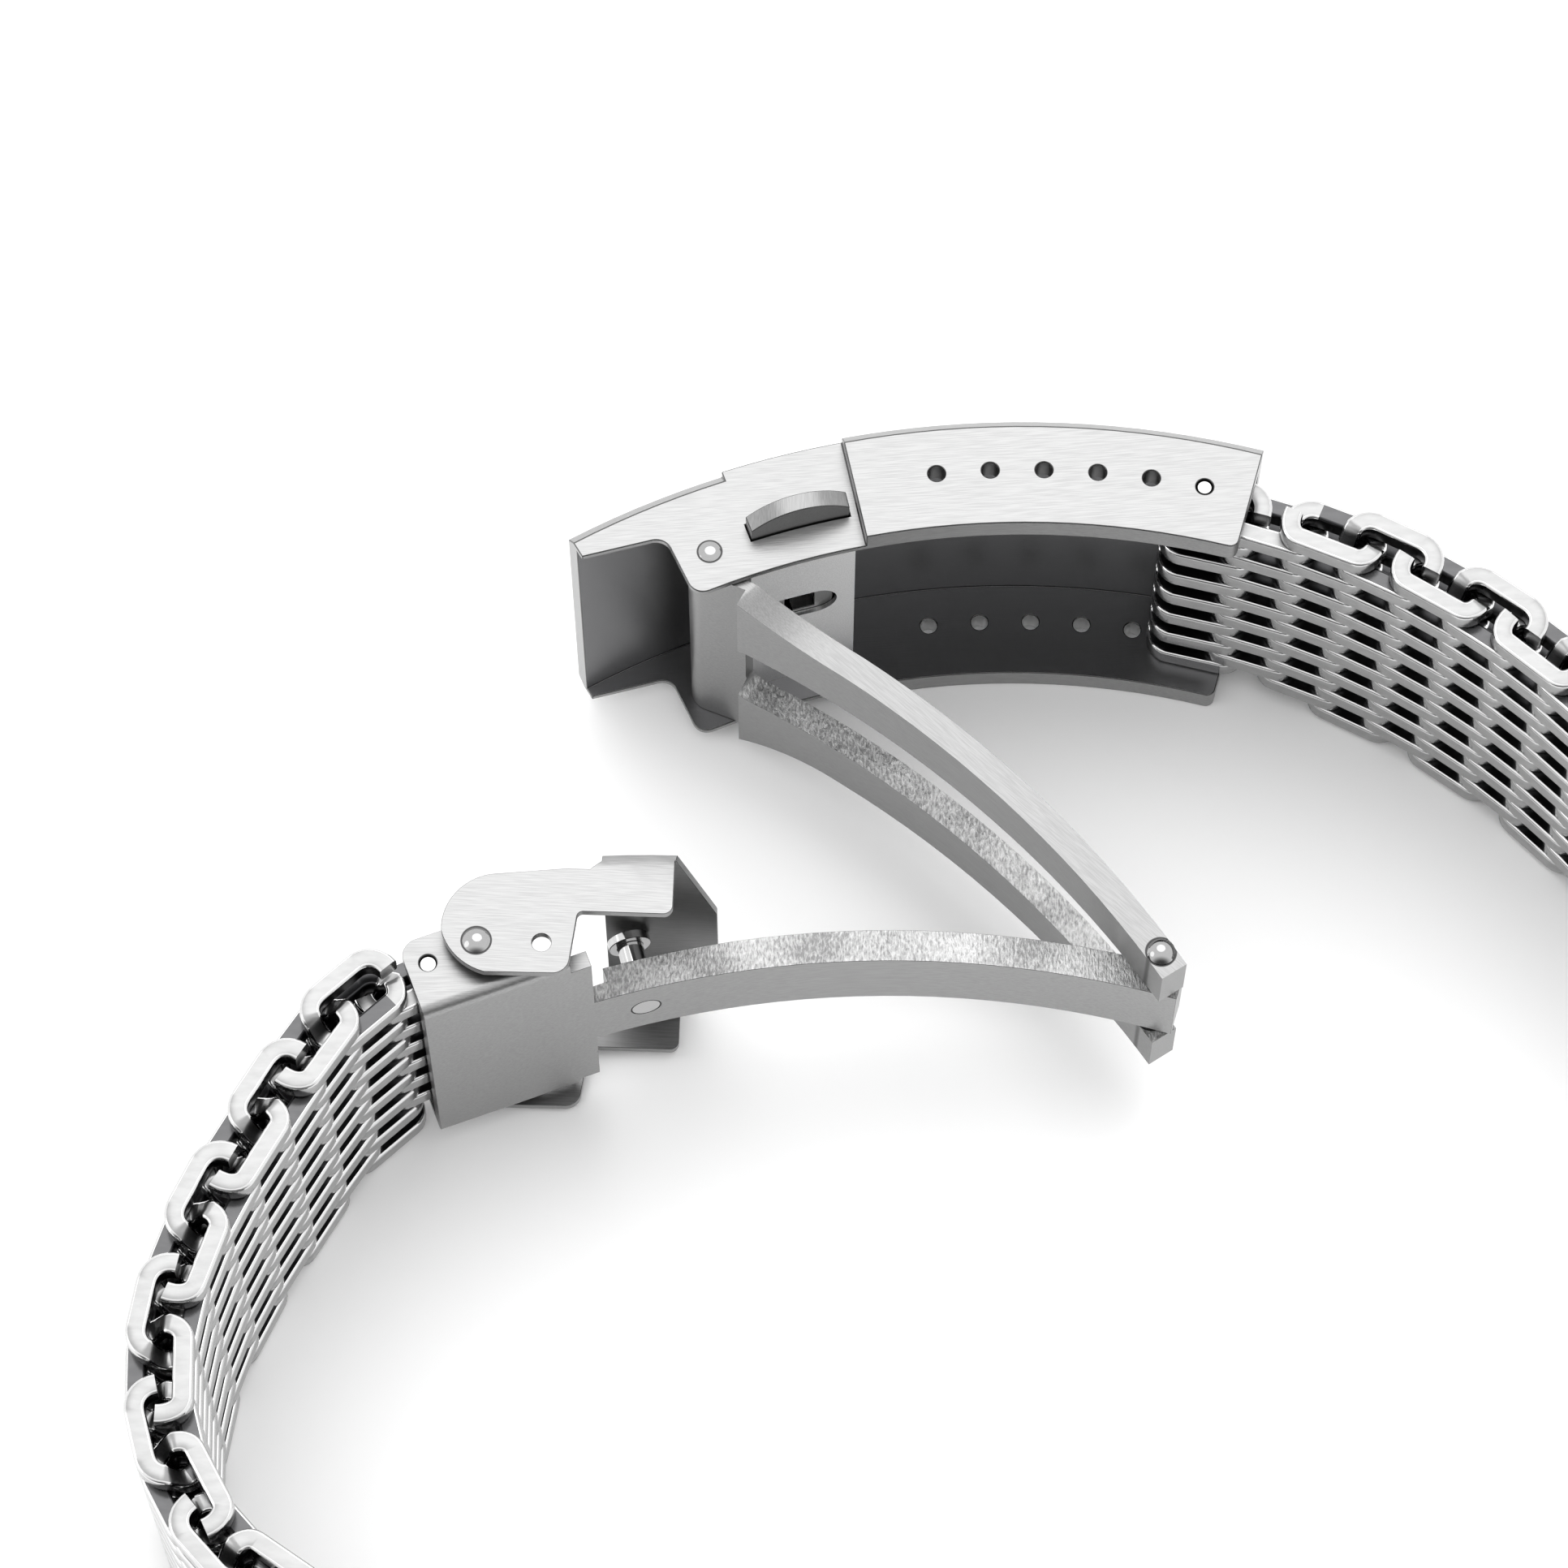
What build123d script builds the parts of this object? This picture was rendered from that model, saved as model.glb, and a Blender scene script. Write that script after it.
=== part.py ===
from build123d import *
import math
import os

os.makedirs("parts", exist_ok=True)

# A shark mesh bracelet with a fold-over clasp, lying open on its side edge.
# Z runs across the band. X and Y lie in the plane of the clasp's side profile.
# The origin is in the middle of the cover's lower side face, which lies on the table.
# +Y is the outer side of the cover, away from the wrist.

# Cover: a curved channel with an outer plate and two side walls
cover_width = 20.4
cover_radius = 50.4
cover_rise = 4.25
cover_depth = 6.7
cover_plate = 1.0
cover_wall = 1.5
cover_bevel = 0.62
cover_rear_angle = 15.5
cover_front_angle = 30.3
front_wall_depth = 1.6
lobe_angle = 24.8
lobe_wall_depth = 2.65
lobe_corner = 0.9
rear_corner = 0.5
divide_angle = 11.65
recess_depth = 1.1
bevel_stop_angle = 19.6

# Holes for moving the mesh along the cover
adjust_count = 6
adjust_pitch = 3.0
adjust_diameter = 0.98
adjust_depth = 3.37
adjust_last_angle = 12.3

# Catch block, the two push buttons and their spring
block_front_angle = 19.6
block_rear_angle = 11.9
block_depth = 4.95
catch_slot_length = 5.0
catch_slot_width = 2.5
catch_slot_top_depth = 2.6
catch_slot_angle = 16.35
button_depth = 4.65
button_thickness = 1.02
button_front_angle = 19.4
button_rear_angle = 12.3
button_proud = 2.0
button_pressed_proud = 1.1
button_crown = 1.25
tongue_thickness = 0.8
tongue_width = 1.2
tongue_hook = 1.2
hook_play = 0.25
button_spring_angle = 12.75
button_spring_swing = 0.3
button_spring_wire = 0.2
button_spring_bends = 12

# Hinge pins
pin_clearance = 0.03
blade_pivot_depth = 4.47
blade_pivot_angle = 22.44
blade_pivot_diameter = 1.0
blade_pivot_head = 1.3
blade_pivot_dome = 0.2
hinge_diameter = 1.0
hinge_head = 1.6
hinge_dome = 0.45
flap_pivot_diameter = 1.0
flap_pivot_head = 1.55
flap_pivot_dome = 0.35
link_pin_diameter = 0.92

# Inner blade: a fork that carries the outer blade between its arms
inner_reach = 33.65
inner_thickness = 1.62
inner_rise = 1.97
inner_open_angle = -43.0
inner_closed_angle = -4.0
knuckle_radius = 1.25
knuckle_end_play = 0.05
neck_outer_height = 0.3
neck_run = 2.6
shoulder_reach = 3.2
shoulder_drop = 1.23
arm_root_reach = 10.0
arm_root_width = 14.0
arm_bow_reach = 5.6
arm_bow_width = 15.2
arm_end_width = 12.2
arm_end_overhang = 1.1
arm_end_drop = 1.15
fork_slot_width = 5.9
fork_slot_start = 2.9
fork_slot_corner = 0.8

# Outer blade with the end link formed in one piece with it
outer_open_angle = 1.4
outer_thickness = 1.84
outer_width = 5.0
outer_rise = 2.4
outer_end_overhang = 1.0
outer_end_drop = 1.27
link_slope = 19.0
link_plate = 0.95
link_width = 17.2
link_tab_width = 15.2
link_tail = 3.95
link_nose = 5.55
link_tab_length = 1.15
link_thin_run = 1.1
link_wall = 0.8
link_wall_height = 4.4
link_wall_front = 1.6
link_wall_foot = 2.4
link_wall_corner = 1.0
link_bend = 0.7
flap_pivot_height = 2.65
link_pin_height = 2.85
link_pin_inset = 1.2
link_pin_sink = 0.2

# Catch stud riveted through the outer blade
stud_reach = 28.1
stud_shaft = 1.46
stud_head = 2.4
stud_height = 1.9
stud_neck_share = 0.66
stud_head_thickness = 0.5
stud_rivet = 1.65
stud_rivet_thickness = 0.2

# Safety flap: two cheeks joined by a roof
flap_hole_offset = 3.5
flap_hole_diameter = 1.05
flap_closed_angle = 13.6
flap_open_angle = -2.0
flap_sheet = 0.5
flap_width = 19.7
flap_left = 1.92
flap_back = 0.5
flap_back_low = 1.3
flap_crest = (0.5, 3.93)
flap_crest_side = (1.05, 3.05)
flap_top = 4.4
flap_top_start = 4.6
flap_arm_low = 1.9
flap_arm_end = 10.45
flap_cheek_right = 4.95
flap_cheek_low = 1.75
flap_notch = 5.35
flap_cheek_corner = 0.9
flap_arm_corner = 0.5
flap_notch_corner = 0.35
flap_roof_start = 5.9
flap_roof_gap = 0.1
flap_roof_sheet = 0.42
flap_roof_ramp = 0.6
flap_bevel = 0.8
flap_bevel_depth = 0.38
flap_tab_reach = 2.2
flap_tab_width = 5.4
flap_tab_corner = 0.8

# Spring bars: a tube, two sprung tips and a spring inside
cover_bar_diameter = 1.4
cover_bar_tip = 0.84
cover_bar_play = 0.1
lug_bar_diameter = 1.6
lug_bar_tip = 0.8
lug_bar_piston = 1.14
lug_bar_wall = 0.2
lug_tip_proud = 0.9
cover_bar_wall = 0.25
spring_width = 0.5
bar_tip_sink = 2.2
bar_spring_swing = 0.3
bar_spring_wire = 0.2
bar_spring_bends = 14

# Mesh: flattened wire coils, each threaded through the next
coil_length = 6.1
coil_pitch = 3.35
mesh_thickness = 3.7
mesh_side_gap = 0.3
wire_depth = 0.95
wire_width = 1.05
coil_strands = 16
outer_shoulder = 1.9
inner_shoulder = 1.63
bend_half_height = 0.25
coils_in_strap = 16
coils_in_cover = 2
cover_coil_first = 1
cover_coil_last = 14
link_coil_first = 2
link_coil_last = 13
cover_bar_offset = 0.9
link_pin_offset = 1.3
link_coil_lift = 0.12
lug_bar_offset = 0.9
right_strap_angle = -14.0
right_strap_bend = -4.6
left_strap_angle = 206.4
left_link_bends = (16.5, 14.0, 3.0, 1.0)
left_first_bend = 4.2
left_bend_growth = 2.3
left_bend_limit = 13.5

# One overrun serves all cuts
overrun = 1.0

# Places worked out from the sizes above
mid_z = cover_width / 2
arc_centre = Vector(0, cover_rise - cover_radius, 0)
hole_circle = cover_radius - adjust_depth
hole_step_angle = math.degrees(adjust_pitch / hole_circle)
channel_radius = cover_radius - cover_plate
wall_radius = cover_radius - cover_depth
mesh_width = cover_width - 2 * mesh_side_gap
strand_step = (mesh_width - wire_width) / (coil_strands - 1)
mesh_top = mid_z + mesh_width / 2
mesh_foot = mid_z - mesh_width / 2
bevel_spare = math.degrees(overrun / cover_radius)


def turned(x, y, angle):
    """A vector (x, y) turned by an angle in degrees."""
    a = math.radians(angle)
    return Vector(x * math.cos(a) - y * math.sin(a), x * math.sin(a) + y * math.cos(a), 0)


def on_arc(radius, angle, centre=arc_centre):
    """A point on a circle, at an angle towards +X from straight up."""
    a = math.radians(angle)
    return centre + Vector(radius * math.sin(a), radius * math.cos(a), 0)


blade_pivot = on_arc(cover_radius - blade_pivot_depth, -blade_pivot_angle)
hinge_open = blade_pivot + turned(inner_reach, 0, inner_open_angle)
hinge_closed = blade_pivot + turned(inner_reach, 0, inner_closed_angle)
flap_pivot_closed = blade_pivot - turned(flap_hole_offset, 0, flap_closed_angle)
outer_reach = (hinge_closed - flap_pivot_closed).length
closed_run = hinge_closed - flap_pivot_closed
outer_closed_angle = math.degrees(math.atan2(closed_run.Y, closed_run.X))
flap_pivot_open = hinge_open - turned(outer_reach, 0, outer_open_angle)
link_angle = outer_open_angle + link_slope
link_pin_place = flap_pivot_open + turned(
    link_pin_inset - link_tail, link_pin_height - flap_pivot_height, link_angle
)
cover_bar_place = on_arc(hole_circle, adjust_last_angle)


def face_of(edges):
    """A flat face inside a closed run of edges."""
    return make_face(Wire(edges))


def polygon(points):
    """A flat face inside straight edges through points."""
    return make_face(Polyline(*points, close=True))


def slab(face, low, high):
    """A face in the side plane stretched across the band from low to high."""
    return Pos(0, 0, low) * extrude(face, amount=high - low, dir=(0, 0, 1))


def sector(inner, outer, start, end, centre=arc_centre):
    """A curved strip between two radii and two angles."""
    middle = (start + end) / 2
    top = ThreePointArc(
        on_arc(outer, start, centre), on_arc(outer, middle, centre), on_arc(outer, end, centre)
    )
    low = ThreePointArc(
        on_arc(inner, end, centre), on_arc(inner, middle, centre), on_arc(inner, start, centre)
    )
    return face_of([top, Line(top @ 1, low @ 0), low, Line(low @ 1, top @ 0)])


def rod(place, diameter, low, high):
    """A round rod across the band."""
    disc = Pos(place.X, place.Y, 0) * Circle(diameter / 2)
    return slab(disc, low, high)


def dome(place, diameter, height, base, up):
    """A rounded pin head on a flat side, facing up or down."""
    radius = (diameter * diameter / 4 + height * height) / (2 * height)
    sign = 1 if up else -1
    ball = Pos(place.X, place.Y, base + sign * (height - radius)) * Sphere(radius)
    low, high = (base, base + height) if up else (base - height, base)
    return ball & rod(place, diameter + overrun, low, high)


def bow(start, end, rise):
    """Centre and radius of the arc from start to end that rises to its left side."""
    chord = end - start
    half = chord.length / 2
    radius = (half * half + rise * rise) / (2 * rise)
    side = Vector(-chord.Y, chord.X, 0).normalized()
    return start + chord * 0.5 + side * (rise - radius), radius


def bowed_strip(start, end, rise, thickness):
    """A curved strip of even thickness with its lower face through start and end."""
    centre, radius = bow(start, end, rise)
    angles = [math.degrees(math.atan2(p.X - centre.X, p.Y - centre.Y)) for p in (start, end)]
    return sector(radius, radius + thickness, angles[0], angles[1], centre)


def mirrored(shape):
    """The same shape on the other side of the band."""
    return mirror(shape, Plane.XY.offset(mid_z))


def upright_cylinder(radius, height):
    """A cylinder that stands on its origin."""
    return Cylinder(radius, height, align=(Align.CENTER, Align.CENTER, Align.MIN))


def standing(place, lean):
    """Turns a shape's own Z to the outward direction at a lean towards +X, at a place."""
    return Pos(place.X, place.Y, mid_z) * Rot(0, 0, -lean) * Rot(-90, 0, 0)


def as_solid(shape):
    """The one solid of a shape, or a compound of its solids."""
    solids = shape.solids()
    return solids[0] if len(solids) == 1 else Compound(solids)


def bevel_ring(radius, bevel, depth, edge, inwards, start, end):
    """The wedge that a bevel takes off an arched outer edge."""
    cut = depth * (bevel + overrun) / bevel
    points = [
        Vector(radius - bevel, 0, edge + inwards * -overrun),
        Vector(radius + overrun, 0, edge + inwards * -overrun),
        Vector(radius + overrun, 0, edge + inwards * cut),
        Vector(radius - bevel, 0, edge),
    ]
    wedge = make_face(Polyline(*points, close=True))
    ring = revolve(wedge, Axis.Z, revolution_arc=end - start)
    return Pos(arc_centre.X, arc_centre.Y, 0) * Rot(0, 0, 90 - end) * ring


def wall_profile():
    """Side outline of the cover: short front walls, a lobe at the pivot, a square rear end."""
    top = ThreePointArc(
        on_arc(cover_radius, -cover_front_angle),
        on_arc(cover_radius, 0),
        on_arc(cover_radius, cover_rear_angle),
    )
    low = ThreePointArc(
        on_arc(wall_radius, cover_rear_angle),
        on_arc(wall_radius, 0),
        on_arc(wall_radius, -lobe_angle),
    )
    cut = on_arc(cover_radius - lobe_wall_depth, -lobe_angle)
    nose = on_arc(cover_radius - front_wall_depth, -cover_front_angle)
    outline = face_of(
        [
            top,
            Line(top @ 1, low @ 0),
            low,
            Line(low @ 1, cut),
            Line(cut, nose),
            Line(nose, top @ 0),
        ]
    )
    lobe = outline.vertices().sort_by_distance(low @ 1)[0]
    inner = outline.vertices().sort_by_distance(cut)[0]
    outline = fillet([lobe, inner], lobe_corner)
    rear = outline.vertices().sort_by_distance(low @ 0)[0]
    return fillet(rear, rear_corner)


def clasp_cover():
    body = slab(wall_profile(), 0, cover_width)
    channel = sector(
        wall_radius - overrun, channel_radius, -cover_front_angle - overrun, cover_rear_angle + overrun
    )
    body -= slab(channel, cover_wall, cover_width - cover_wall)
    recess = sector(
        wall_radius - overrun, cover_radius + overrun, -cover_front_angle - overrun, -divide_angle
    )
    body -= slab(recess, -overrun, recess_depth)
    body -= slab(recess, cover_width - recess_depth, cover_width + overrun)
    for edge, inwards in ((0, 1), (cover_width, -1)):
        body -= bevel_ring(
            cover_radius, cover_bevel, cover_bevel, edge, inwards, -divide_angle, cover_rear_angle
        )
        front = edge + inwards * recess_depth
        body -= bevel_ring(
            cover_radius, cover_bevel, cover_bevel, front, inwards, -cover_front_angle, -bevel_stop_angle
        )
    for index in range(adjust_count):
        place = on_arc(hole_circle, adjust_last_angle - index * hole_step_angle)
        body -= rod(place, adjust_diameter, -overrun, cover_width + overrun)
    pivot_hole = blade_pivot_diameter + 2 * pin_clearance
    body -= rod(blade_pivot, pivot_hole, -overrun, cover_width + overrun)
    body -= slab(button_window(), -overrun, cover_width + overrun) - slab(
        button_window(), cover_wall, cover_width - cover_wall
    )
    return as_solid(body)


def button_window():
    """Opening in the side walls and in the catch block that the buttons slide in."""
    gap = math.degrees(pin_clearance / cover_radius)
    return sector(
        cover_radius - button_depth - pin_clearance,
        cover_radius - button_depth + button_thickness + pin_clearance,
        -button_front_angle - gap,
        -button_rear_angle + gap,
    )


def stud_closed_place():
    """Where the stud's neck stands between the tongues once the clasp is folded shut."""
    neck = stud_point(outer_thickness + stud_height * stud_neck_share)
    return hinge_closed + turned(neck.X, neck.Y, outer_closed_angle)


def catch_block():
    face = cover_radius - block_depth
    body = slab(
        sector(face, channel_radius, -block_front_angle, -block_rear_angle),
        cover_wall,
        cover_width - cover_wall,
    )
    body -= slab(button_window(), 0, cover_width)
    half = math.degrees((catch_slot_length - catch_slot_width) / 2 / face)
    top = cover_radius - catch_slot_top_depth
    ends = [-catch_slot_angle - half, -catch_slot_angle + half]
    straight = sector(face - overrun, top, ends[0], ends[1])
    body -= slab(straight, mid_z - catch_slot_width / 2, mid_z + catch_slot_width / 2)
    for angle in ends:
        foot = on_arc(face - overrun, angle)
        round_end = upright_cylinder(catch_slot_width / 2, top - face + overrun)
        body -= standing(foot, angle) * round_end
    return as_solid(body)


def button_upper(proud=button_proud):
    """A crowned pusher with a tongue that hooks under the stud's head."""
    base = cover_width - recess_depth
    low = cover_radius - button_depth
    pusher = slab(
        sector(low, low + button_thickness, -button_front_angle, -button_rear_angle),
        base - cover_wall,
        base + proud,
    )
    middle = on_arc(cover_radius, -(button_front_angle + button_rear_angle) / 2) - arc_centre
    lean = -(button_front_angle + button_rear_angle) / 2
    length = 2 * cover_radius * math.sin(math.radians((button_front_angle - button_rear_angle) / 2))
    crown_radius = (length * length / 4 + button_crown * button_crown) / (2 * button_crown)
    ridge = middle.normalized() * low + arc_centre
    barrel = Cylinder(crown_radius, 4 * button_thickness)
    barrel = Pos(0, 0, base + proud - crown_radius - mid_z) * standing(ridge, lean) * barrel
    pusher &= barrel
    stud = stud_closed_place()
    stud_angle = math.degrees(math.atan2((stud - arc_centre).X, (stud - arc_centre).Y))
    near = math.degrees((stud_shaft / 2 + hook_play) / cover_radius)
    far = math.degrees((stud_shaft / 2 + hook_play + tongue_width) / cover_radius)
    bar = sector(low, low + tongue_thickness, stud_angle + near, stud_angle + far)
    tip = mid_z - stud_shaft / 2 - hook_play
    body = pusher + slab(bar, tip - tongue_hook, base)
    hook = sector(low, low + tongue_thickness, stud_angle - near / 2, stud_angle + far)
    return as_solid(body + slab(hook, tip - tongue_hook, tip))


def button_lower():
    """The same button from the other side, held in by the surface it lies on."""
    button = mirrored(button_upper())
    stud = stud_closed_place() - arc_centre
    stud_angle = math.degrees(math.atan2(stud.X, stud.Y))
    low = cover_radius - button_depth
    near = math.degrees((stud_shaft / 2 + hook_play) / cover_radius)
    far = math.degrees((stud_shaft / 2 + hook_play + tongue_width) / cover_radius)
    tip = mid_z + stud_shaft / 2 + hook_play
    base = recess_depth
    keep = slab(
        sector(low - overrun, low + 2 * button_thickness, -button_front_angle - overrun, 0),
        base - button_proud - overrun,
        cover_wall,
    )
    body = button & keep
    bar = sector(low, low + tongue_thickness, stud_angle - far, stud_angle - near)
    body += slab(bar, 0, tip + tongue_hook)
    hook = sector(low, low + tongue_thickness, stud_angle - far, stud_angle + near / 2)
    body += slab(hook, tip, tip + tongue_hook)
    return as_solid(Pos(0, 0, button_proud - button_pressed_proud) * body)


def zigzag(place, swing, wire, bends, low, high, angle=0.0):
    """A flat spring folded to and fro between two levels."""
    steps = [low + (high - low) * n / bends for n in range(bends + 1)]
    sides = [(swing - wire) * (-1) ** n for n in range(bends + 1)]
    left = [Vector(x - wire, 0, z) for x, z in zip(sides, steps)]
    right = [Vector(x + wire, 0, z) for x, z in zip(sides, steps)]
    ribbon = make_face(Polyline(*left, *reversed(right), close=True))
    strip = extrude(ribbon, amount=spring_width / 2, both=True)
    return as_solid(Pos(place.X, place.Y, 0) * Rot(0, 0, angle) * strip)


def button_spring():
    """Folded between the two buttons beside their tongues."""
    depth = button_depth - button_thickness / 2
    place = on_arc(cover_radius - depth, -button_spring_angle)
    low = cover_wall + button_proud - button_pressed_proud
    high = cover_width - recess_depth - cover_wall
    return zigzag(
        place, button_spring_swing, button_spring_wire, button_spring_bends, low, high, button_spring_angle
    )


def blade_pivot_pin():
    base = recess_depth
    top = cover_width - recess_depth
    body = rod(blade_pivot, blade_pivot_diameter, base, top)
    body += dome(blade_pivot, blade_pivot_head, blade_pivot_dome, top, True)
    body += dome(blade_pivot, blade_pivot_head, blade_pivot_dome, base, False)
    return as_solid(body)


def seen_from_above(face, height):
    """A face drawn as length by width, stretched through the thickness of a blade."""
    return Pos(0, 0, mid_z) * Rot(90, 0, 0) * extrude(face, amount=height, both=True)


def inner_blade():
    link_closed_angle = outer_closed_angle + link_slope
    slope = link_closed_angle - inner_closed_angle
    foot = turned(0, -knuckle_radius, slope)
    lift = math.tan(math.radians(slope))
    neck = polygon(
        [
            Vector(0, neck_outer_height),
            Vector(neck_run, neck_outer_height),
            Vector(shoulder_reach, inner_thickness - shoulder_drop),
            Vector(shoulder_reach + knuckle_radius, inner_thickness - shoulder_drop),
            Vector(shoulder_reach + knuckle_radius, foot.Y + (shoulder_reach - foot.X) * lift),
            Vector(shoulder_reach, foot.Y + (shoulder_reach - foot.X) * lift),
            foot,
        ]
    )
    arms = bowed_strip(
        Vector(shoulder_reach, -shoulder_drop),
        Vector(inner_reach + arm_end_overhang, -arm_end_drop),
        inner_rise,
        inner_thickness,
    )
    long_end = inner_reach + arm_end_overhang + overrun
    knuckle_half = cover_width / 2 - cover_wall - knuckle_end_play
    outline = []
    for side in (1, -1):
        knuckle = Vector(shoulder_reach, side * knuckle_half)
        root = Vector(arm_root_reach, side * arm_root_width / 2)
        outline.append(Line(Vector(-2 * knuckle_radius, side * knuckle_half), knuckle))
        outline.append(ThreePointArc(knuckle, Vector(arm_bow_reach, side * arm_bow_width / 2), root))
        outline.append(Line(root, Vector(long_end, side * arm_end_width / 2)))
    outline.append(Line(outline[2] @ 1, outline[5] @ 1))
    outline.append(Line(outline[0] @ 0, outline[3] @ 0))
    outline = make_face(Wire(outline))
    slot_length = long_end - fork_slot_start + fork_slot_corner
    slot = Pos(fork_slot_start + slot_length / 2, 0) * RectangleRounded(
        slot_length, fork_slot_width, fork_slot_corner
    )
    body = slab(neck, 0, cover_width) + slab(arms, 0, cover_width)
    body += slab(Circle(knuckle_radius), 0, cover_width)
    body &= seen_from_above(outline, inner_reach)
    body -= seen_from_above(slot, inner_reach)
    body -= rod(Vector(0, 0), blade_pivot_diameter + 2 * pin_clearance, -overrun, cover_width + overrun)
    pin_hole = rod(Vector(inner_reach, 0), hinge_diameter + 2 * pin_clearance, 0, cover_width)
    return as_solid(Pos(blade_pivot.X, blade_pivot.Y, 0) * Rot(0, 0, inner_open_angle) * (body - pin_hole))


def arm_half_width():
    """Half the width over the arms where the hinge pin's heads lie on them."""
    run = inner_reach - hinge_head / 2 - arm_root_reach
    share = run / (inner_reach + arm_end_overhang + overrun - arm_root_reach)
    return (arm_root_width + (arm_end_width - arm_root_width) * share) / 2


def blade_hinge_pin():
    half = arm_half_width()
    body = rod(hinge_open, hinge_diameter, mid_z - half, mid_z + half)
    body += dome(hinge_open, hinge_head, hinge_dome, mid_z + half, True)
    body += dome(hinge_open, hinge_head, hinge_dome, mid_z - half, False)
    return as_solid(body)


def link_point(u, v):
    """A point of the end link: u along its plate, v above its wrist face."""
    return Vector(-outer_reach, 0) + turned(u, v - flap_pivot_height, link_slope)


def outer_bow():
    """The two ends of the outer blade's wrist face."""
    return link_point(link_nose, 0), Vector(outer_end_overhang, -outer_end_drop)


def place_outer(shape):
    """Move a shape from the outer blade's own frame to the open clasp."""
    return as_solid(Pos(hinge_open.X, hinge_open.Y, 0) * Rot(0, 0, outer_open_angle) * shape)


def outer_blade():
    start, end = outer_bow()
    strip = bowed_strip(start, end, outer_rise, outer_thickness)
    blade = slab(strip, mid_z - outer_width / 2, mid_z + outer_width / 2)
    thin = link_nose + link_thin_run
    ground = polygon(
        [
            link_point(0, link_plate),
            link_point(thin, link_plate),
            link_point(thin, link_wall_height),
            link_point(0, link_wall_height),
        ]
    )
    blade -= slab(ground, 0, cover_width)
    wide = link_nose - link_tab_length
    plate = polygon([link_point(u, v) for u, v in plate_corners(wide)])
    tab = polygon([link_point(u, v) for u, v in plate_corners(link_nose)])
    walls = polygon(
        [
            link_point(-link_tail, 0),
            link_point(-link_tail, link_wall_height),
            link_point(link_wall_front, link_wall_height),
            link_point(link_wall_foot, link_plate),
            link_point(link_wall_foot, 0),
        ]
    )
    tops = walls.vertices().sort_by_distance(link_point(0, link_wall_height + link_tail))[:2]
    walls = fillet(tops, link_wall_corner)
    low = mid_z - link_width / 2
    high = mid_z + link_width / 2
    link = slab(plate, low, high) + slab(walls, low, low + link_wall) + slab(walls, high - link_wall, high)
    edges = link.edges().filter_by(lambda e: is_bend(e, low) or is_bend(e, high))
    link = fillet(edges, link_bend)
    tongue = polygon([link_point(u, v) for u, v in plate_corners(thin)])
    body = link + slab(tab, mid_z - link_tab_width / 2, mid_z + link_tab_width / 2)
    body += slab(tongue, mid_z - outer_width / 2, mid_z + outer_width / 2) + blade
    pin = link_point(link_pin_inset - link_tail, link_pin_height)
    body -= rod(pin, link_pin_diameter + 2 * pin_clearance, -overrun, cover_width + overrun)
    pivot = Vector(-outer_reach, 0)
    body -= rod(pivot, flap_pivot_diameter + 2 * pin_clearance, -overrun, cover_width + overrun)
    body -= rod(Vector(0, 0), hinge_diameter + 2 * pin_clearance, 0, cover_width)
    body -= stud_at(stud_shaft / 2 + pin_clearance, -overrun, outer_thickness + overrun)
    body -= stud_at(stud_rivet / 2 + pin_clearance, -overrun, stud_rivet_thickness)
    return place_outer(body)


def plate_corners(end):
    """Corners of the link plate up to a given end."""
    return [(-link_tail, 0), (end, 0), (end, link_plate), (-link_tail, link_plate)]


def is_bend(edge, level):
    """True for the long lower edge of the link on one side."""
    middle = edge @ 0.5
    drop = (middle - link_point(0, 0)).dot(turned(0, 1, link_slope))
    on_side = abs(middle.Z - level) < link_bend / 100
    return on_side and abs(drop) < link_bend / 100


def stud_lean():
    """The lean of the stud, which stands square on the bowed blade."""
    centre, bow_radius = bow(*outer_bow(), outer_rise)
    return math.degrees(math.asin((-stud_reach - centre.X) / bow_radius))


def stud_point(height):
    """A point of the stud's middle line above the blade's wrist face."""
    centre, bow_radius = bow(*outer_bow(), outer_rise)
    return on_arc(bow_radius + height, stud_lean(), centre)


def stud_at(radius, low, high):
    """A round length of the stud, measured from the blade's wrist face."""
    return standing(stud_point(low), stud_lean()) * upright_cylinder(radius, high - low)


def catch_stud():
    under = outer_thickness + stud_height
    body = stud_at(stud_shaft / 2, 0, under + stud_head_thickness / 2)
    body += stud_at(stud_head / 2, under, under + stud_head_thickness)
    body += stud_at(stud_rivet / 2, 0, stud_rivet_thickness)
    return place_outer(body)


def end_link_pin():
    low = mid_z - link_width / 2 + link_pin_sink
    return as_solid(rod(link_pin_place, link_pin_diameter, low, cover_width - low))


def open_flap(shape):
    """Move a shape from the closed flap's place to the open clasp."""
    closed = flap_pivot_closed
    home = Rot(0, 0, flap_open_angle - flap_closed_angle) * Pos(-closed.X, -closed.Y, 0) * shape
    return as_solid(Pos(flap_pivot_open.X, flap_pivot_open.Y, 0) * home)


def flap_point(x, y):
    """A point of the closed flap: x from its pivot to its snap hole."""
    return flap_pivot_closed + turned(x, y, flap_closed_angle)


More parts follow.
